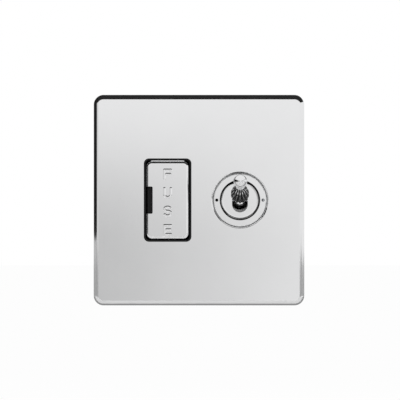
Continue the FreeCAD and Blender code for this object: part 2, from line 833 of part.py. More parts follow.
def make_fuse():
    """Cartridge fuse: a ceramic barrel with a pressed metal cup on each end."""
    barrel_radius = v.fuse_radius - v.fuse_cap_wall - v.cap_fit
    barrel_length = v.fuse_length - v.fuse_cap_wall * 2
    barrel = rod("fuse_barrel", barrel_radius, "z", -barrel_length / 2, barrel_length,
                 across=fuse_x, inward=fuse_y)
    keep("fuse_body", barrel)
    cups = []
    for name, side in (("upper", 1), ("lower", -1)):
        outside = -v.fuse_length / 2 if side < 0 else v.fuse_length / 2 - v.fuse_cap_length
        inside = -barrel_length / 2 if side < 0 else outside
        skin = rod(f"fuse_cup_{name}", v.fuse_radius, "z", outside, v.fuse_cap_length,
                   across=fuse_x, inward=fuse_y)
        bore = rod(f"fuse_cup_bore_{name}", barrel_radius, "z", inside,
                   v.fuse_cap_length - v.fuse_cap_wall, across=fuse_x, inward=fuse_y)
        cups.append(cut(f"fuse_cap_{name}", skin, bore))
    group("fuse_end_caps", cups)


def bow(thick, half_chord, rise):
    """Bowed leaf that stands on the well floor with its crown towards the fuse."""
    outer = (half_chord * half_chord + (rise + thick) * (rise + thick)) / ((rise + thick) * 2)
    inner_half = half_chord - thick
    inner = (inner_half * inner_half + rise * rise) / (rise * 2)
    return [
        (fuse_x - half_chord, well_back), (fuse_x - inner_half, well_back, inner, 1),
        (fuse_x + inner_half, well_back), (fuse_x + half_chord, well_back, outer, -1),
    ]


def make_fuse_contact(label, up, links):
    """Leaf contact behind one end of the fuse, with its tail through the well floor."""
    contact = Body(label)
    half = v.leaf_width / 2
    leaf = bow(v.leaf_thick, v.leaf_chord / 2, v.leaf_bow)
    contact.pad("XY_Plane", up - half, up + half, leaf)
    contact.pad("XZ_Plane", well_back, strip_front,
                rectangle(tail_left, tail_right, up - half, up + half))
    for loop in links:
        contact.pad("XZ_Plane", strip_front, v.housing_back, loop)

ring_front = plate_front + v.ring_drop
bush_front = ring_front + v.bush_drop
bush_radius = v.ring_bore - v.bush_fit


def make_ring_nut():
    """Turned nut that fills the plate's round hole, with two holes for a pin spanner."""
    ring = Body("ring_nut")
    outer = v.ring_hole - v.ring_fit
    ring.revolve(rectangle(v.ring_bore, outer, ring_front, flange_front))

    def at_bore(edge):
        return (edge_lies_at(edge, y=ring_front) and hasattr(edge.Curve, "Radius")
                and near(edge.Curve.Radius, v.ring_bore))

    ring.round_edges(v.ring_edge, at_bore)
    holes = [circle(v.spanner_radius, v.spanner_pitch * side) for side in SIDES]
    ring.pocket("XZ_Plane", ring_front, flange_front, *holes)
    ring.move(across=toggle_x)


def slot_outline(width, length):
    """Upright slot with round ends, each end as two quarter arcs."""
    side, straight, end = width / 2, (length - width) / 2, length / 2
    return [
        (side, -straight), (side, straight, side, 1), (0, end, side, 1),
        (-side, straight), (-side, -straight, side, 1), (0, -end, side, 1),
    ]


def make_toggle_bush():
    """Bush inside the ring: slotted disc, hollow behind it, flange and neck."""
    bush = Body("toggle_bush")
    disc_back = bush_front + v.bush_face
    bush.revolve([
        (0, bush_front), (bush_radius, bush_front),
        (bush_radius, frame_front - v.bush_flange_thick),
        (v.bush_flange, frame_front - v.bush_flange_thick), (v.bush_flange, frame_front),
        (v.bush_neck, frame_front), (v.bush_neck, v.bush_neck_back),
        (v.bush_bore, v.bush_neck_back), (v.bush_bore, disc_back + v.bush_cone_depth),
        (v.bush_cone, disc_back), (0, disc_back),
    ])
    bush.pocket("XZ_Plane", bush_front, disc_back, slot_outline(v.slot_width, v.slot_length))
    bush.pocket("YZ_Plane", -v.bush_flange - 1, v.pivot_pin_half + v.pin_fit,
                circle(v.pivot_pin + v.pin_fit, -v.dolly_pivot))
    bush.move(across=toggle_x)


def place_with_dolly(piece):
    """The dolly and what it carries are made upright and tipped about the pivot."""
    piece.tilt(Vector(-1, 0, 0), v.dolly_tilt)
    piece.move(across=toggle_x, inward=-v.dolly_pivot)


def make_dolly():
    """Turned lever: ball, fluted acorn barrel, bead, hub on the pivot, and a bored tail."""
    dolly = Body("dolly")
    centre = v.barrel_radius - v.barrel_arc
    arc_square = v.barrel_arc * v.barrel_arc
    base_drop = v.barrel_place - v.barrel_base
    neck_rise = v.neck_place - v.barrel_place
    base_radius = centre + root(arc_square - base_drop * base_drop)
    neck_start = centre + root(arc_square - neck_rise * neck_rise)
    hub_square = v.hub_radius * v.hub_radius
    tail_meet = root(hub_square - v.tail_radius * v.tail_radius)
    stem_meet = root(hub_square - v.stem_radius * v.stem_radius)
    ball_meet = root(v.ball_radius * v.ball_radius - v.ball_foot * v.ball_foot)
    bead_side = v.bead_radius - v.bead_half
    # The pivot is the origin and the ball lies towards -Y.
    dolly.revolve([
        (0, v.tail_length), (v.tail_radius, v.tail_length),
        (v.tail_radius, tail_meet, v.hub_radius, -1),
        (v.stem_radius, -stem_meet), (v.stem_radius, v.bead_half - v.bead_place),
        (bead_side, v.bead_half - v.bead_place, v.bead_half, -1),
        (v.bead_radius, -v.bead_place, v.bead_half, -1),
        (bead_side, -v.bead_place - v.bead_half), (v.waist_radius, -v.bead_place - v.bead_half),
        (v.waist_radius, v.barrel_bevel - v.barrel_base), (base_radius - v.barrel_bevel,
                                                          v.barrel_bevel - v.barrel_base),
        (base_radius, -v.barrel_base, v.barrel_arc, -1),
        (neck_start, -v.neck_place), (v.neck_radius, -v.neck_place - v.neck_fall),
        (v.ball_foot, ball_meet - v.ball_place, v.ball_radius, -1),
        (0, -v.ball_place - v.ball_radius),
    ])
    dolly.pocket("XZ_Plane", v.tail_length - v.tail_bore_depth, v.tail_length, circle(v.tail_bore))
    dolly.pocket("YZ_Plane", -v.hub_radius, v.hub_radius, circle(v.pivot_pin + v.pin_fit))
    cut_flutes(dolly, centre)
    place_with_dolly(dolly)


def cut_flutes(dolly, arc_centre):
    """Round-bottomed flutes that follow the curve of the barrel."""
    doc.recompute()
    before = dolly.body.Shape.Volume
    section = circle(v.flute_radius, v.barrel_radius + v.flute_rise)
    sketch = dolly.sketch("XZ_Plane", -v.barrel_place, [section])
    foot, head = Vector(arc_centre.number, -1, 0), Vector(arc_centre.number, 1, 0)
    axis = sketch.addGeometry(Part.LineSegment(foot, head), True)
    fix_point(sketch, axis, 1, arc_centre, -1)
    fix_point(sketch, axis, 2, arc_centre, 1)
    flute = dolly.body.newObject("PartDesign::Groove", "dolly_flute")
    flute.Profile = sketch
    flute.ReferenceAxis = (sketch, ["Axis0"])
    flute.Midplane = True
    bind(flute, Angle=v.flute_sweep)
    ring = dolly.body.newObject("PartDesign::PolarPattern", "dolly_flutes")
    ring.Originals = [flute]
    ring.Axis = (dolly.origin("Y_Axis"), [""])
    ring.Angle = 360
    bind(ring, Occurrences=v.flute_count)
    dolly.body.Tip = ring
    doc.recompute()
    if dolly.body.Shape.Volume > before - 1:
        raise RuntimeError("the flutes of the dolly remove nothing")


def make_plunger():
    """Round-nosed plunger in the tail of the dolly, and the spring behind it."""
    plunger = Body("plunger")
    radius, tip = v.plunger_radius, v.plunger_reach
    plunger.revolve([
        (0, tip - v.plunger_length), (radius, tip - v.plunger_length),
        (radius, tip - radius, radius, 1), (0, tip),
    ])
    place_with_dolly(plunger)
    spring = Body("plunger_spring")
    start = v.tail_length - v.tail_bore_depth + v.spring_wire
    room = tip - v.plunger_length - start - v.spring_wire
    coil = v.tail_bore - v.spring_wire - v.cap_fit
    profile = spring.sketch("XY_Plane", 0, [circle(v.spring_wire, coil, start)])
    helix = spring.body.newObject("PartDesign::AdditiveHelix", "plunger_coil")
    helix.Profile = profile
    helix.ReferenceAxis = (profile, ["V_Axis"])
    helix.Mode = "pitch-height-angle"
    bind(helix, Pitch=room / v.spring_turns, Height=room)
    place_with_dolly(spring)


def tip_with_rocker(piece):
    piece.tilt(Vector(1, 0, 0), v.rocker_tilt)
    piece.move(across=toggle_x, inward=v.rocker_place)


def make_rocker():
    """Moulded rocker with a hollow saddle for the plunger's nose."""
    rocker = Body("rocker")
    half = chamber_half - v.rocker_gap
    saddle = v.plunger_reach + v.rocker_gap
    centre = -(v.rocker_place + v.dolly_pivot)
    lip = centre + root(saddle * saddle - v.rocker_lip * v.rocker_lip)
    shoulder, heel = v.rocker_lip + v.lip_thick, v.rocker_lip + v.lip_thick * 2
    front, back, arm = -v.rocker_front, v.rocker_back, v.rocker_arm
    rocker.pad("YZ_Plane", -half, half, [
        (lip, -v.rocker_lip, saddle, 1), (lip, v.rocker_lip), (lip, shoulder), (front, heel),
        (front, arm), (back, arm), (back, -arm), (front, -arm), (front, -heel), (lip, -shoulder),
    ])
    rocker.pocket("YZ_Plane", -half, half, circle(v.rocker_pin + v.pin_fit))
    tip_with_rocker(rocker)


def make_moving_contact(label, offset):
    """Strip along the back of the rocker with a round contact near its upper end."""
    contact = Body(label)
    middle = as_dim(offset)
    back = v.rocker_back + v.strip_thick
    contact.pad("XZ_Plane", v.rocker_back, back,
                column(middle, strip_half, -v.rocker_arm, v.rocker_arm))
    contact.pad("XZ_Plane", back, back + v.button_thick,
                circle(v.button_radius, middle, v.button_place))
    tip_with_rocker(contact)


def make_conductors():
    """Flat conductors between the rear mouldings; two carry a fixed contact."""
    for label, loops in CONDUCTORS.items():
        conductor = Body(label)
        for loop in loops:
            conductor.pad("XZ_Plane", strip_front, v.housing_back, loop)
        if label.startswith("fixed"):
            middle = pole_line_x if label.endswith("line") else pole_neutral_x
            conductor.pad("XZ_Plane", strip_front - v.button_thick, strip_front,
                          circle(v.button_radius, middle, fixed_button_z))
        if label == "earth_strap":
            finish_earth_strap(conductor)


def finish_earth_strap(strap):
    """The strap turns forward over the housing and up behind the frame, where it is riveted."""
    low = v.body_height / 2 + v.strip_fit
    high = low + v.strip_thick
    half = v.strap_width / 2
    left, right = EARTH_X - half, EARTH_X + half
    top = frame_screw_height + half
    strap.pad("XZ_Plane", strip_front, v.housing_back, rectangle(left, right, 0, high))
    strap.pad("XZ_Plane", 0, v.housing_back, rectangle(left, right, low, high))
    strap.pad("XZ_Plane", 0, v.strip_thick, rectangle(left, right, low, top))
    strap.pocket("XZ_Plane", 0, v.strip_thick,
                 circle(v.rivet_radius, EARTH_X, frame_screw_height))


def make_rivet():
    shank = rod("rivet_shank", v.rivet_radius, "y", frame_front, v.frame_thick + v.strip_thick,
                across=EARTH_X, up=frame_screw_height)
    head = rod("rivet_head", v.screw_head, "y", v.strip_thick, v.strip_thick,
               across=EARTH_X, up=frame_screw_height)
    keep("strap_rivet", join("rivet", [shank, head]))


def make_pins():
    half = v.pivot_pin_half
    keep("dolly_pin", rod("dolly_pivot_rod", v.pivot_pin, "x", -half, half * 2,
                          across=toggle_x, inward=-v.dolly_pivot))
    start = chamber_left - v.wall
    keep("rocker_pin", rod("rocker_pivot_rod", v.rocker_pin, "x", start,
                           chamber_right + v.wall / 2 - v.pin_fit - start,
                           inward=v.rocker_place))


def build():
    make_front_plate()
    make_mounting_frame()
    make_insert_moulding()
    make_switch_housing()
    make_terminal_block()
    make_housing_screws()
    make_frame_screws()
    make_terminals()
    make_fuse_cap()
    make_fuse_carrier()
    make_fuse()
    make_fuse_contact("fuse_contact_upper", v.link_high, [])
    make_fuse_contact("fuse_contact_lower", -v.link_high, lower_link)
    make_ring_nut()
    make_toggle_bush()
    make_dolly()
    make_plunger()
    make_rocker()
    make_moving_contact("moving_contact_line", v.pole_offset)
    make_moving_contact("moving_contact_neutral", -v.pole_offset)
    make_conductors()
    make_rivet()
    make_pins()
    doc.recompute()


def check_and_write():
    """Every feature sound and every piece a valid solid, then one file a piece."""
    for thing in doc.Objects:
        if {"Invalid", "Error"} & set(thing.State):
            raise RuntimeError(f"{thing.Name} ({thing.Label}) failed: {thing.State}")
    finished = [piece.body if isinstance(piece, Body) else piece for piece in pieces]
    for piece in finished:
        if piece.Shape.isNull() or not piece.Shape.isValid() or not piece.Shape.Solids:
            raise RuntimeError(f"{piece.Label} has no valid solid")
    os.makedirs("parts", exist_ok=True)
    for piece in finished:
        piece.Shape.exportStep(f"parts/{piece.Label}.step")
        print(piece.Label, len(piece.Shape.Solids), round(piece.Shape.Volume, 2))


build()
check_and_write()
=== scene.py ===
import json
import math

import bmesh
import bpy
from mathutils import Matrix, Vector


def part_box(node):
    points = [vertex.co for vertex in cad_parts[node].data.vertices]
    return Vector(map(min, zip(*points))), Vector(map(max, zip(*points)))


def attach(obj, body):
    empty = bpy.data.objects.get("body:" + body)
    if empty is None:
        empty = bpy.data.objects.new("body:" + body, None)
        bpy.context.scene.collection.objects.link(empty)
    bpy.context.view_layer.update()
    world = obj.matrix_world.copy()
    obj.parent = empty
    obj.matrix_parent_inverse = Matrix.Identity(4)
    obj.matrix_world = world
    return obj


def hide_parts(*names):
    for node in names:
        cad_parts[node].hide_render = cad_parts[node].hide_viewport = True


# A fused spur unit with a polished front plate, dressed over its fixed CAD frame.
# Metres: X right, Y into the wall, Z up. The front plate faces -Y.

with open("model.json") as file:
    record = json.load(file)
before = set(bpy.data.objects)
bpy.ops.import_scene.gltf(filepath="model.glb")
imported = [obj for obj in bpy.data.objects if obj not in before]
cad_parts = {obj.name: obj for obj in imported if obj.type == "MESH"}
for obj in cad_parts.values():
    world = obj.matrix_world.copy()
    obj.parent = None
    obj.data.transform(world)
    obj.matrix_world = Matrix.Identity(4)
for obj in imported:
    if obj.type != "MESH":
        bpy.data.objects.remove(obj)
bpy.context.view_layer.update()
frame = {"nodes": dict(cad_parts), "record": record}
NODES = frame["nodes"]
MM = 0.001


class Nodes:
    """A node tree with short ways to add nodes and to join them."""

    def __init__(self, tree):
        self.nodes = tree.nodes
        self.links = tree.links

    def put(self, socket, value):
        """Give an input a constant, or join another node's output to it."""
        if isinstance(value, bpy.types.NodeSocket):
            self.links.new(value, socket)
        else:
            socket.default_value = value

    def add(self, kind, **inputs):
        """New node. Its inputs are given by name, with _ for a space."""
        node = self.nodes.new("ShaderNode" + kind)
        for name, value in inputs.items():
            self.put(node.inputs[name.replace("_", " ")], value)
        return node

    def span(self, source, low, high, start=0, end=1, smooth=False):
        """Source, from start to end, becomes low to high."""
        scale = self.add("MapRange", Value=source, From_Min=start, From_Max=end,
                         To_Min=low, To_Max=high)
        if smooth:
            scale.interpolation_type = "SMOOTHSTEP"
        return scale.outputs["Result"]

    def math(self, operation, *values):
        step = self.nodes.new("ShaderNodeMath")
        step.operation = operation
        for socket, value in zip(step.inputs, values):
            self.put(socket, value)
        return step.outputs["Value"]

    def mixed(self, share, first, second):
        """The first shader, with a share of the second."""
        mix = self.nodes.new("ShaderNodeMixShader")
        for socket, value in zip(mix.inputs, (share, first, second)):
            self.put(socket, value)
        return mix.outputs["Shader"]


class Shader(Nodes):
    """A principled material together with the nodes that feed it."""

    def __init__(self, name, **constants):
        self.material = bpy.data.materials.new(name)
        self.material.use_nodes = True
        super().__init__(self.material.node_tree)
        self.base = self.nodes["Principled BSDF"]
        for socket, value in constants.items():
            self.feed(socket.replace("_", " "), value)

    def feed(self, socket, value):
        self.put(self.base.inputs[socket], value)

    def place(self, stretch=(1, 1, 1)):
        """The piece's own coordinates, in metres at rest."""
        here = self.add("TexCoord").outputs["Object"]
        return self.add("Mapping", Vector=here, Scale=stretch).outputs["Vector"]

    def axes(self, origin=(0, 0, 0), tip=0.0):
        """X, Y and Z of the piece at rest, from an origin and tipped about X by an angle."""
        here = self.add("TexCoord").outputs["Object"]
        turned_frame = self.nodes.new("ShaderNodeMapping")
        turned_frame.vector_type = "TEXTURE"
        self.put(turned_frame.inputs["Vector"], here)
        self.put(turned_frame.inputs["Location"], origin)
        self.put(turned_frame.inputs["Rotation"], (tip, 0, 0))
        return self.add("SeparateXYZ", Vector=turned_frame.outputs["Vector"]).outputs

    def noise(self, size, detail, rough=0.55, stretch=(1, 1, 1)):
        """Cloudy pattern whose patches are about size metres across."""
        pattern = self.add("TexNoise", Vector=self.place(stretch), Scale=1 / size,
                           Detail=detail, Roughness=rough)
        return pattern.outputs["Fac"]

    def cells(self, size):
        """Crystals about size metres across, each with a tone of its own."""
        return self.add("TexVoronoi", Vector=self.place(), Scale=1 / size).outputs["Color"]

    def pattern_span(self, pattern, low, high):
        """Most of a pattern's values lie from 0.3 to 0.7, and these become low to high."""
        return self.span(pattern, low, high, 0.3, 0.7)

    def tint(self, source, *stops):
        """Source picks a colour; each of the two stops is a position and a colour."""
        ramp = self.add("ValToRGB", Fac=source)
        for point, (position, colour) in zip(ramp.color_ramp.elements, stops):
            point.position = position
            point.color = (*colour, 1)
        return ramp.outputs["Color"]

    def dimmed(self, colour, mask, share):
        """Colour that keeps only a share of its light where mask is 1."""
        scale = self.nodes.new("ShaderNodeVectorMath")
        scale.operation = "SCALE"
        self.put(scale.inputs[0], colour)
        self.put(scale.inputs["Scale"], self.span(mask, 1, share))
        return scale.outputs["Vector"]

    def relief(self, height, depth, strength):
        """Bump with a depth in metres."""
        bump = self.add("Bump", Height=height, Distance=depth, Strength=strength)
        self.feed("Normal", bump.outputs["Normal"])


def polished_metal(name, light, dark, rough, painted_shade_and_dullness=None, share=0.04, dull=0.4):
    """Mirror plating with faint polishing marks and a little handling haze.

    Where the mask, a function of the shader, gives 1, shade is painted into the colour, which
    keeps only a share of its light, and the metal is also made duller there.
    """
    shader = Shader(name, Metallic=1.0)
    haze = shader.noise(21 * MM, 4, 0.6)
    colour = shader.tint(haze, (0.3, dark), (0.7, light))
    marks = shader.noise(0.9 * MM, 2, 0.5, stretch=(1, 1, 0.02))
    spread = shader.math("ADD", shader.pattern_span(haze, rough * 0.7, rough * 1.3),
                         shader.pattern_span(marks, 0, rough * 0.35))
    if painted_shade_and_dullness:
        # Painted shade: the colour is dimmed where the mask is 1.
        mask = painted_shade_and_dullness(shader)
        colour = shader.dimmed(colour, mask, share)
        spread = shader.math("ADD", spread, shader.math("MULTIPLY", mask, dull))
    shader.feed("Base Color", colour)
    shader.feed("Roughness", spread)
    shader.relief(marks, depth=0.00025 * MM, strength=0.35)
    return shader.material


def plated_steel(name, light, dark):
    """Bright zinc: small crystals of slightly different tone and gloss."""
    shader = Shader(name, Metallic=1.0)
    crystal = shader.cells(1.1 * MM)
    cloud = shader.noise(6 * MM, 4)
    tone = shader.math("MULTIPLY", crystal, cloud)
    shader.feed("Base Color", shader.tint(tone, (0.05, dark), (0.5, light)))
    shader.feed("Roughness", shader.pattern_span(cloud, 0.2, 0.38))
    shader.relief(shader.noise(0.35 * MM, 3), depth=0.002 * MM, strength=0.5)
    return shader.material


def moulding(name, light, dark, gloss, speck=0.0, sheen=0.5):
    """Moulded thermoset: fine spark-eroded texture, flow clouds and filler specks."""
    shader = Shader(name, Specular_IOR_Level=sheen)
    flow = shader.noise(9 * MM, 5, 0.6, stretch=(1, 1, 0.45))
    grit = shader.noise(0.22 * MM, 2)
    tone = shader.math("ADD", shader.math("MULTIPLY", flow, 1 - speck),
                       shader.math("MULTIPLY", grit, speck))
    shader.feed("Base Color", shader.tint(tone, (0.32, dark), (0.68, light)))
    shader.feed("Roughness", shader.pattern_span(flow, gloss * 0.85, gloss * 1.15))
    shader.relief(grit, depth=0.006 * MM, strength=0.6)
    return shader.material


def cut_brass(name, light, dark):
    """Drawn and cropped brass with a slight tarnish."""
    shader = Shader(name, Metallic=1.0)
    tarnish = shader.noise(4 * MM, 5, 0.65)
    drawn = shader.noise(0.6 * MM, 2, 0.5, stretch=(1, 1, 0.06))
    shader.feed("Base Color", shader.tint(tarnish, (0.34, dark), (0.62, light)))
    shader.feed("Roughness", shader.math("ADD", shader.pattern_span(tarnish, 0.32, 0.2),
                                         shader.pattern_span(drawn, 0, 0.1)))
    shader.relief(drawn, depth=0.003 * MM, strength=0.5)
    return shader.material


def glazed_ceramic(name, light, dark):
    """Glazed barrel of the fuse, with the faint mottle of its body."""
    shader = Shader(name, Coat_Weight=0.6, Coat_Roughness=0.12)
    body = shader.noise(1.6 * MM, 6, 0.7)
    shader.feed("Base Color", shader.tint(body, (0.36, dark), (0.64, light)))
    shader.feed("Roughness", shader.pattern_span(body, 0.25, 0.4))
    shader.relief(body, depth=0.005 * MM, strength=0.4)
    return shader.material


# Painted shade on the toggle: masks for polished_metal that darken and dull its hollows and recesses.

DISC_FACE = -4.4 * MM
DISH_LIP, DISH_FOOT, DISH_END = 8.25 * MM, 7.55 * MM, 6.85 * MM
LEVER_TILT, FLUTE_COUNT = math.radians(25), 14


def shade_behind_the_disc(shader):
    """Painted shade, 1 on all of the bush that lies behind its polished face."""
    return shader.span(shader.axes()["Y"], 0, 1, DISC_FACE + 0.1 * MM, DISC_FACE + 0.2 * MM)


def shade_in_the_dish(shader):
    """Painted shade, 1 near the lip of the ring's dished bore, falling to 0 where it runs out."""
    low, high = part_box("ring_nut")
    place = shader.axes((low + high) / 2)
    squares = [shader.math("MULTIPLY", place[axis], place[axis]) for axis in "XZ"]
    reach = shader.math("SQRT", shader.math("ADD", *squares))
    inner = shader.span(reach, 0, 1, DISH_FOOT - 0.45 * MM, DISH_FOOT + 0.15 * MM)
    outer = shader.span(reach, 1, 0, DISH_LIP - 0.05 * MM, DISH_LIP + 0.05 * MM)
    return shader.math("MULTIPLY", inner, outer)


def shade_in_the_flutes(shader):
    """Painted shade, 1 in the hollows of the lever's barrel and neck, 0 on the crests; the crests too
    are shaded more towards the lever's base.

    The lever's own Y runs from its ball towards the wall, with 0 on its pivot.
    """
    base_edge, base_end = -4.4 * MM, -4.2 * MM
    foot_tip, foot_end = -11 * MM, -7.4 * MM
    neck_end, neck_start = -14.6 * MM, -13.4 * MM
    low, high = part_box("dolly_pin")
    place = shader.axes((low + high) / 2, -LEVER_TILT)
    turn = shader.math("ARCTAN2", place["Z"], place["X"])
    wave = shader.math("COSINE", shader.math("MULTIPLY", turn, FLUTE_COUNT))
    flute_shade = shader.span(wave, 0, 1, -0.9, -0.3)
    foot_shade = shader.span(place["Y"], 0.1, 0.93, foot_tip, foot_end)
    from_base = shader.span(place["Y"], 1, 0, base_edge, base_end)
    to_neck = shader.span(place["Y"], 0, 1, neck_end, neck_start)
    shade = shader.math("MAXIMUM", flute_shade, foot_shade)
    return shader.math("MULTIPLY", shade, shader.math("MULTIPLY", from_base, to_neck))


# The finish of each material slot, and the finishes of the toggle's own pieces.

TURNED = (0.88, 0.882, 0.886), (0.85, 0.852, 0.858)
FINISH = {
    "polished_plate": polished_metal("polished_plate_metal", (0.875, 0.877, 0.882),
                                     (0.855, 0.857, 0.863), 0.05),
    # The lever's finish paints shade into its flutes and towards its base.
    "polished_lever": polished_metal("fluted_lever_metal", *TURNED, 0.07, shade_in_the_flutes),
    "zinc_steel": plated_steel("zinc_plated_steel", (0.74, 0.76, 0.79), (0.5, 0.52, 0.56)),
    "black_moulding": moulding("black_thermoset", (0.008, 0.008, 0.0085),
                               (0.004, 0.004, 0.0045), 0.4, sheen=0.2),
    "grey_moulding": moulding("grey_thermoset", (0.31, 0.32, 0.325),
                              (0.23, 0.24, 0.245), 0.5, speck=0.35),
    "ceramic": glazed_ceramic("fuse_ceramic", (0.86, 0.84, 0.78), (0.76, 0.73, 0.66)),
    "brass": cut_brass("cut_brass", (0.83, 0.63, 0.32), (0.6, 0.43, 0.2)),
}
# The disc's finish paints shade on the bush behind the disc's face.
DISC_FINISH = polished_metal("toggle_disc_metal", *TURNED, 0.05, shade_behind_the_disc, share=0.6)
# The ring's finish paints shade into its dished bore.
RING_FINISH = polished_metal("toggle_ring_metal", *TURNED, 0.05, shade_in_the_dish, share=0.3, dull=0.1)


def dress_cad_nodes():
    """Every CAD node takes its slot's finish, and the toggle's disc its own."""
    for part in frame["record"]["subparts"]:
        materials = NODES[part["node"]].data.materials
        materials.clear()
        materials.append(FINISH[part["material_slot"]])
    NODES["toggle_bush"].data.materials[0] = DISC_FINISH


def finished(name, shape, slot, body, material=None):
    """Turn a bmesh into a piece that rides on a CAD body, in its slot's finish or its own."""
    mesh = bpy.data.meshes.new(name)
    shape.to_mesh(mesh)
    shape.free()
    mesh.materials.append(material or FINISH[slot])
    piece = bpy.data.objects.new(name, mesh)
    bpy.context.collection.objects.link(piece)
    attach(piece, body)
    return piece


# Generic word on the fuse cover, one letter above the other, in strokes on a unit square.

LETTER_WIDTH, LETTER_HEIGHT, LETTER_PITCH, TOP_LETTER = 2.6 * MM, 3.6 * MM, 7.55 * MM, 10.5 * MM


def arc(across, up, radius_x, radius_z, start, end, steps=12):
    """Points of an elliptic arc; the angles are in degrees, counted from the right."""
    turns = [math.radians(start + (end - start) * i / steps) for i in range(steps + 1)]
    return [(across + radius_x * math.cos(turn), up + radius_z * math.sin(turn)) for turn in turns]


STROKES = {
    "F": [[(1, 1), (0, 1), (0, 0)], [(0, 0.52), (0.9, 0.52)]],
    "U": [[(0, 1)] + arc(0.5, 0.3, 0.5, 0.3, 180, 360) + [(1, 1)]],
    "S": [arc(0.5, 0.76, 0.48, 0.24, 30, 255) + arc(0.5, 0.27, 0.5, 0.27, 75, -150)],
    "E": [[(1, 1), (0, 1), (0, 0), (1, 0)], [(0, 0.52), (0.9, 0.52)]],
}


def distance_to(point, run):
    """Shortest way from a point to a run of straight pieces."""
    ways = []
    for start, end in zip(run, run[1:]):
        along = end - start
        share = max(0.0, min(1.0, (point - start).dot(along) / along.length_squared))
        ways.append((point - start - along * share).length)
    return min(ways)


def raised_letter(name, runs, middle, face_y):
    """Low rounded relief: a fine skin that swells from the cover along the strokes.

    Past the strokes' edge the skin dips a little into the cover, so that no rim shows.
    """
    half, swell, cell, sunk = 0.58 * MM, 0.105 * MM, 0.06 * MM, 0.012 * MM
    skirt = 1.25
    lines = [[Vector((middle.x + (x - 0.5) * LETTER_WIDTH, middle.y + (z - 0.5) * LETTER_HEIGHT))
              for x, z in run] for run in runs]
    corner = middle - Vector((LETTER_WIDTH / 2 + half, LETTER_HEIGHT / 2 + half))
    columns = int((LETTER_WIDTH + 2 * half) / cell) + 2
    rows = int((LETTER_HEIGHT + 2 * half) / cell) + 2
    shape = bmesh.new()
    grid = {}
    for i in range(columns):
        for j in range(rows):
            here = corner + Vector((i, j)) * cell
            away = min(distance_to(here, line) for line in lines) / half
            if away < skirt:
                lift = (swell + sunk) * max(0.0, 1 - away * away) - sunk
                grid[i, j] = shape.verts.new((here.x, face_y - lift, here.y))
    for i, j in grid:
        ring = [(i, j), (i + 1, j), (i + 1, j + 1), (i, j + 1)]
        if all(key in grid for key in ring):
            shape.faces.new([grid[key] for key in ring]).smooth = True
    loose = [vert for vert in shape.verts if not vert.link_faces]
    bmesh.ops.delete(shape, geom=loose, context="VERTS")
    shape.normal_update()
    finished(name, shape, "polished_plate", "fuse_tray")


def build_cover_letters():
    low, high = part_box("fuse_cap")
    across = (low[0] + high[0]) / 2
    for row, (letter, runs) in enumerate(STROKES.items()):
        middle = Vector((across, TOP_LETTER - row * LETTER_PITCH))
        raised_letter("cover_letter_" + letter, runs, middle, low[1])


def build_cover_lip():
    """Narrow flat lip along the cover's top edge, bevelled and drawn in at its upper corners."""
    reach, height, thick, set_back = 6.9 * MM, 0.28 * MM, 0.5 * MM, 0.38 * MM
    corner_cut, edge = 0.4 * MM, 0.05 * MM
    low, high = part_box("fuse_cap")
    across = (low[0] + high[0]) / 2
    shape = bmesh.new()
    bmesh.ops.create_cube(shape, size=1)
    for vert in shape.verts:
        half_width = reach - (corner_cut if vert.co.z > 0 else 0)
        vert.co = Vector((across + vert.co.x * 2 * half_width,
                          low[1] + set_back + (vert.co.y + 0.5) * thick,
                          high[2] + vert.co.z * height))
    bmesh.ops.bevel(shape, geom=shape.edges[:], offset=edge, segments=2, affect="EDGES")
    finished("cover_lip", shape, "polished_plate", "fuse_tray")


# Ring round the toggle.


def turned(profile, centre, segments=96):
    """Closed ring turned about the Y axis; the profile is a loop of radius and depth."""
    shape = bmesh.new()
    loops = []
    for i in range(segments):
        turn = math.tau * i / segments
        loops.append([shape.verts.new((centre[0] + radius * math.cos(turn), depth,
                                       centre[1] + radius * math.sin(turn)))
                      for radius, depth in profile])
    for here, there in zip(loops, loops[1:] + loops[:1]):
        for i in range(len(profile)):
            j = (i + 1) % len(profile)
            shape.faces.new((here[i], here[j], there[j], there[i]))
    bmesh.ops.recalc_face_normals(shape, faces=shape.faces)
    return shape


def smooth_but_crisp(shape, sharp=math.radians(28)):
    """Smooth shading that keeps every edge sharper than an angle."""
    for face in shape.faces:
        face.smooth = True
    for edge in shape.edges:
        edge.smooth = edge.is_manifold and edge.calc_face_angle() < sharp


def ring_profile(front, back, outer, bore):
    """Flat face between an outer bevel and a dished bore that runs out over the disc."""
    bevel, slope, steps = 0.28 * MM, math.radians(35), 8
    end_face = DISC_FACE - 0.005 * MM
    foot_face = front + (DISH_LIP - DISH_FOOT) * math.tan(slope)
    run_out = []
    for i in range(1, steps + 1):
        share = i / steps
        run_out.append((DISH_FOOT + (DISH_END - DISH_FOOT) * share,
                        foot_face + (end_face - foot_face) * (1 - (1 - share) ** 2)))
    rim = [(outer, back), (outer, front + bevel), (outer - bevel, front)]
    dish = [(DISH_LIP, front), (DISH_FOOT, foot_face)] + run_out
    return rim + dish + [(bore, end_face + 0.01 * MM), (bore, back)]


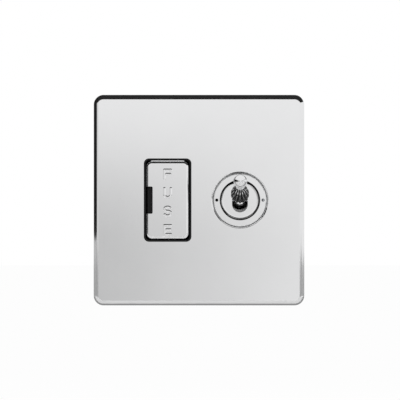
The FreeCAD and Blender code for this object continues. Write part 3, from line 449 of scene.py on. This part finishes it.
def pierced(shape, spots, radius, front, back, corners=24):
    """Cut round holes along Y through a bmesh and give back the cut mesh."""
    body = bpy.data.objects.new("uncut", bpy.data.meshes.new("uncut"))
    shape.to_mesh(body.data)
    shape.free()
    cutter_shape = bmesh.new()
    for x, z in spots:
        place = Matrix.Translation((x, (front + back) / 2, z)) @ Matrix.Rotation(math.pi / 2, 4, "X")
        bmesh.ops.create_cone(cutter_shape, cap_ends=True, segments=corners, radius1=radius,
                              radius2=radius, depth=back - front, matrix=place)
    cutter = bpy.data.objects.new("cutter", bpy.data.meshes.new("cutter"))
    cutter_shape.to_mesh(cutter.data)
    cutter_shape.free()
    for piece in (body, cutter):
        bpy.context.collection.objects.link(piece)
    cut = body.modifiers.new("holes", "BOOLEAN")
    cut.object = cutter
    cut.solver = "EXACT"
    done = bmesh.new()
    result = body.evaluated_get(bpy.context.evaluated_depsgraph_get())
    done.from_mesh(result.to_mesh())
    result.to_mesh_clear()
    for piece in (body, cutter):
        mesh = piece.data
        bpy.data.objects.remove(piece)
        bpy.data.meshes.remove(mesh)
    return done


def build_ring():
    """The ring nut at the fineness that its mirror finish needs, with its two spanner holes."""
    proud, bore = 0.08 * MM, 7.9 * MM
    hole_pitch, hole_radius = 9.45 * MM, 0.65 * MM
    low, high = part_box("ring_nut")
    centre = ((low[0] + high[0]) / 2, (low[2] + high[2]) / 2)
    outer, front, back = (high[0] - low[0]) / 2, low[1] - proud, high[1]
    spots = [(centre[0] + side * hole_pitch, centre[1]) for side in (-1, 1)]
    shape = turned(ring_profile(front, back, outer, bore), centre)
    shape = pierced(shape, spots, hole_radius, front - MM, back + MM)
    smooth_but_crisp(shape)
    ring = finished("toggle_ring", shape, "polished_plate", "unit", RING_FINISH)
    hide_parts("ring_nut")


# Studio: what the mirror finish reflects, the floor, the lamps and the camera.

FLOOR_Z = -0.16
CARD_CORNERS = ((0, 0), (1, 0), (1, 1), (0, 1))


def card(name, low, high, level, ramp=None):
    """Flat glowing card between two corners that share one coordinate, for reflections only.

    A ramp, a function of the card's nodes, makes its level vary over the card.
    """
    across, up = [axis for axis in range(3) if low[axis] != high[axis]]
    places = []
    for right, top in CARD_CORNERS:
        place = Vector(low)
        place[across] = (low, high)[right][across]
        place[up] = (low, high)[top][up]
        places.append(place)
    mesh = bpy.data.meshes.new(name)
    mesh.from_pydata(places, [], [(0, 1, 2, 3)])
    uv = mesh.uv_layers.new(name="card")
    for loop, corner in zip(uv.data, CARD_CORNERS):
        loop.uv = corner
    material = bpy.data.materials.new(name + "_glow")
    material.use_nodes = True
    material.node_tree.nodes.clear()
    nodes = Nodes(material.node_tree)
    glow = nodes.add("Emission", Strength=ramp(nodes) if ramp else level)
    nodes.add("OutputMaterial", Surface=glow.outputs["Emission"])
    mesh.materials.append(material)
    piece = bpy.data.objects.new(name, mesh)
    bpy.context.collection.objects.link(piece)
    piece.visible_camera = False
    piece.visible_diffuse = False
    piece.visible_shadow = False
    piece.visible_transmission = False


def falling_light(nodes):
    """The soft front light is full at its top and right and falls off towards its lower left."""
    full, faint = 0.92, 0.58
    where = nodes.add("UVMap")
    where.uv_map = "card"
    place = nodes.add("SeparateXYZ", Vector=where.outputs["UV"]).outputs
    down = nodes.span(place["Y"], 0, 1, 0.665, 0.42, smooth=True)
    left = nodes.span(place["X"], 0.2, 1, 0.647, 0.353)
    return nodes.span(nodes.math("MULTIPLY", down, left), full, faint)


def build_cards():
    """The front light that the plate mirrors, and dark flags over, left of and under the part."""
    front, half = -1.25, 0.3
    card("front_light", (-half, front, -half), (half, front, half), 0.9, falling_light)
    card("top_flag", (-1.2, -1.95, 0.42), (1.2, 0.7, 0.42), 0.022)
    card("left_flag", (-0.4, -0.44, -0.021), (-0.4, 0.7, 0.41), 0.015)
    # The dim card just over the floor behind the part is a painted shadow of the part on the floor,
    # seen only in reflections.
    over_floor = FLOOR_Z + 0.002
    card("under_flag", (-0.8, -0.03, over_floor), (0.8, 1.6, over_floor), 0.3)


def build_world():
    """White to the camera; to all other rays a plain room that is darker on its left side."""
    world = bpy.data.worlds.new("studio")
    bpy.context.scene.world = world
    world.use_nodes = True
    world.node_tree.nodes.clear()
    nodes = Nodes(world.node_tree)
    white = (1, 1, 1, 1)
    towards = nodes.add("SeparateXYZ", Vector=nodes.add("TexCoord").outputs["Generated"]).outputs
    side_level = nodes.span(towards["X"], 0.58, 0.9, -0.7, 0.15)
    room = nodes.add("Background", Color=white, Strength=side_level)
    backdrop = nodes.add("Background", Color=white)
    camera_ray = nodes.add("LightPath").outputs["Is Camera Ray"]
    seen = nodes.mixed(camera_ray, room.outputs["Background"], backdrop.outputs["Background"])
    nodes.add("OutputWorld", Surface=seen)


def build_floor():
    """Pale floor well below the part, with a weak sheen of its own; it keeps its shadows."""
    half, white_share = 6, 0.97
    mesh = bpy.data.meshes.new("floor")
    mesh.from_pydata([(x * half, y * half, FLOOR_Z) for x, y in ((-1, -1), (1, -1), (1, 1), (-1, 1))],
                     [], [(0, 1, 2, 3)])
    floor = bpy.data.objects.new("floor", mesh)
    bpy.context.collection.objects.link(floor)
    paint = Shader("pale_floor", Base_Color=(0.47, 0.47, 0.47, 1), Roughness=0.7,
                   Specular_IOR_Level=0.1)
    camera_ray = paint.add("LightPath").outputs["Is Camera Ray"]
    share = paint.math("MULTIPLY", camera_ray, white_share)
    white = paint.add("Emission").outputs["Emission"]
    seen = paint.mixed(share, paint.base.outputs["BSDF"], white)
    paint.put(paint.nodes["Material Output"].inputs["Surface"], seen)
    mesh.materials.append(paint.material)


def soft_light(name, place, size, power):
    """Square area light on the part that lights matt surfaces but stays out of reflections."""
    lamp = bpy.data.lights.new(name, "AREA")
    lamp.size = size
    lamp.energy = power
    light = bpy.data.objects.new(name, lamp)
    light.location = place
    light.rotation_euler = (-Vector(place)).to_track_quat("-Z", "Y").to_euler()
    light.visible_glossy = False
    bpy.context.collection.objects.link(light)


def lever_light(level):
    """Small lamp over the lever, as bright in its ball as the front light is in the plate.

    It faces down and a little towards the wall, so that the plate mirrors only its unlit back.
    """
    lamp = bpy.data.lights.new("lever_light", "AREA")
    lamp.shape = "RECTANGLE"
    lamp.size, lamp.size_y = 26 * MM, 30 * MM
    lamp.energy = level * math.pi * lamp.size * lamp.size_y
    light = bpy.data.objects.new("lever_light", lamp)
    light.location = (16.7 * MM, -30.5 * MM, 13.4 * MM)
    light.rotation_euler = (math.radians(-4), 0, 0)
    light.visible_camera = False
    light.visible_diffuse = False
    bpy.context.collection.objects.link(light)


def build_camera():
    """Square on to the plate, with the photo's frame at the plate's face."""
    photo_width, pixel = 400, 0.4078 * MM
    distance, plate_face = 1.2, -5 * MM
    aim_x, aim_z = 0.41 * MM, 0.04 * MM
    camera = bpy.data.cameras.new("photo_camera")
    camera.sensor_fit = "HORIZONTAL"
    camera.sensor_width = 36
    camera.lens = camera.sensor_width * distance / (photo_width * pixel)
    camera.clip_start = 0.01
    camera.clip_end = 30
    holder = bpy.data.objects.new("photo_camera", camera)
    holder.location = (aim_x, plate_face - distance, aim_z)
    holder.rotation_euler = (math.radians(90), 0, 0)
    bpy.context.collection.objects.link(holder)
    bpy.context.scene.camera = holder


dress_cad_nodes()
build_cover_letters()
build_cover_lip()
build_ring()

build_cards()
build_world()
build_floor()
soft_light("key_light", (-0.5, -0.8, 0.75), 0.5, 9)
soft_light("fill_light", (0.9, -0.7, 0.35), 0.6, 6)
soft_light("back_light", (0.3, 0.9, 0.6), 0.6, 8)
lever_light(0.855)
build_camera()
bpy.context.scene.view_settings.view_transform = "Standard"
